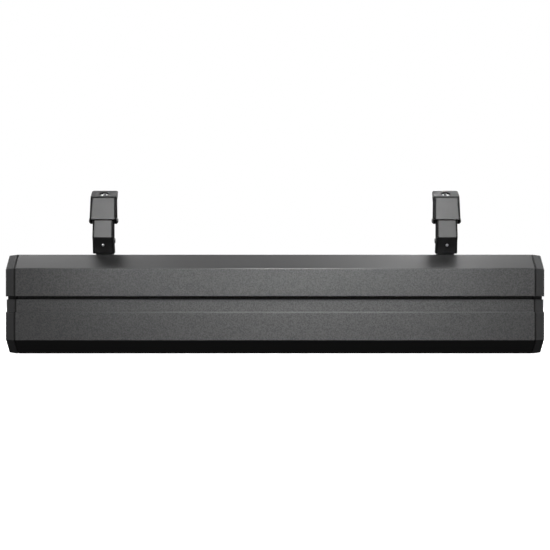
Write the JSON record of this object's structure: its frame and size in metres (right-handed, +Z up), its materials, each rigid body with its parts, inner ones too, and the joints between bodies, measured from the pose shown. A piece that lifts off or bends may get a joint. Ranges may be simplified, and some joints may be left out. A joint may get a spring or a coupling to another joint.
{
  "type": "led strip batten",
  "caption": "Long chamfered light batten with end caps, a glazed front, plug sockets at its ends and folding hanging brackets on its top.",
  "frame": {"origin": "middle of the flat bottom", "axes": "+X along the batten, +Y towards the side the light leaves by, +Z up"},
  "size_m": [0.6046, 0.1, 0.1853],
  "materials": {
    "housing": "fine sand powder coat",
    "end_cap": "smooth satin paint",
    "seal": "matt",
    "glass": "clear",
    "display_glass": "smoked",
    "plate": "brushed",
    "zinc_case": "zinc plated",
    "circuit_board": "solder mask",
    "led_board": "white solder mask",
    "lens": "clear moulded",
    "plastic": "moulded",
    "button": "matt",
    "cable": "sleeved",
    "bracket_sheet": "satin powder coat",
    "bracket_foot": "satin powder coat",
    "fastener": "black oxide"
  },
  "bodies": {
    "housing": {"control_board": "circuit_board", "data_in_socket": "plastic", "data_loom": "cable", "data_out_socket": "plastic", "dc_loom": "cable", "display_window": "display_glass", "driver_board": "circuit_board", "end_cap_left": "end_cap", "end_cap_right": "end_cap", "end_cap_screw_left_1": "fastener", "end_cap_screw_left_2": "fastener", "end_cap_screw_left_3": "fastener", "end_cap_screw_left_4": "fastener", "end_cap_screw_right_1": "fastener", "end_cap_screw_right_2": "fastener", "end_cap_screw_right_3": "fastener", "end_cap_screw_right_4": "fastener", "end_seal_left": "seal", "end_seal_right": "seal", "front_bezel": "housing", "front_glass": "glass", "fuse_holder": "plastic", "glass_gasket": "seal", "glass_retainer": "plate", "housing_extrusion": "housing", "led_board_1": "led_board", "led_board_2": "led_board", "led_board_3": "led_board", "led_carrier": "plate", "lens_strip_1": "lens", "lens_strip_2": "lens", "lens_strip_3": "lens", "mains_loom": "cable", "power_in_socket": "plastic", "power_out_socket": "plastic", "power_supply": "zinc_case"},
    "bracket_left_runner": {"bracket_left_foot": "bracket_foot", "bracket_left_foot_screw": "fastener"},
    "bracket_left_lower": {"bracket_left_arm": "bracket_sheet", "bracket_left_arm_screw": "fastener", "bracket_left_arm_bolt": "fastener", "bracket_left_arm_nut": "fastener"},
    "bracket_left_upper": {"bracket_left_head": "bracket_sheet", "bracket_left_head_rivet": "fastener", "bracket_left_cross_pin": "fastener"},
    "bracket_right_runner": {"bracket_right_foot": "bracket_foot", "bracket_right_foot_screw": "fastener"},
    "bracket_right_lower": {"bracket_right_arm": "bracket_sheet", "bracket_right_arm_screw": "fastener", "bracket_right_arm_bolt": "fastener", "bracket_right_arm_nut": "fastener"},
    "bracket_right_upper": {"bracket_right_head": "bracket_sheet", "bracket_right_head_rivet": "fastener", "bracket_right_cross_pin": "fastener"},
    "button_mode": {"menu_button_mode": "button"},
    "button_up": {"menu_button_up": "button"},
    "button_down": {"menu_button_down": "button"},
    "button_enter": {"menu_button_enter": "button"}
  },
  "joints": [
    {"name": "bracket_left_slide", "type": "slide", "parent": "housing", "child": "bracket_left_runner", "axis": [1, 0, 0], "range_m": [-0.06, 0.14]},
    {"name": "bracket_left_tilt", "type": "hinge", "parent": "bracket_left_runner", "child": "bracket_left_lower", "pos_m": [-0.1948, -0.021, 0.1277], "axis": [1, 0, 0], "range_deg": [-60, 0]},
    {"name": "bracket_left_fold", "type": "hinge", "parent": "bracket_left_lower", "child": "bracket_left_upper", "pos_m": [-0.1948, -0.022, 0.1506], "axis": [1, 0, 0], "range_deg": [-50, 0]},
    {"name": "bracket_right_slide", "type": "slide", "parent": "housing", "child": "bracket_right_runner", "axis": [-1, 0, 0], "range_m": [-0.06, 0.14]},
    {"name": "bracket_right_tilt", "type": "hinge", "parent": "bracket_right_runner", "child": "bracket_right_lower", "pos_m": [0.1948, -0.021, 0.1277], "axis": [1, 0, 0], "range_deg": [-60, 0]},
    {"name": "bracket_right_fold", "type": "hinge", "parent": "bracket_right_lower", "child": "bracket_right_upper", "pos_m": [0.1948, -0.022, 0.1506], "axis": [1, 0, 0], "range_deg": [-50, 0]},
    {"name": "press_mode", "type": "slide", "parent": "housing", "child": "button_mode", "axis": [-1, 0, 0], "range_m": [0, 0.0012], "stiffness_N_per_m": 600, "springref_m": -0.0006},
    {"name": "press_up", "type": "slide", "parent": "housing", "child": "button_up", "axis": [-1, 0, 0], "range_m": [0, 0.0012], "stiffness_N_per_m": 600, "springref_m": -0.0006},
    {"name": "press_down", "type": "slide", "parent": "housing", "child": "button_down", "axis": [-1, 0, 0], "range_m": [0, 0.0012], "stiffness_N_per_m": 600, "springref_m": -0.0006},
    {"name": "press_enter", "type": "slide", "parent": "housing", "child": "button_enter", "axis": [-1, 0, 0], "range_m": [0, 0.0012], "stiffness_N_per_m": 600, "springref_m": -0.0006}
  ]
}
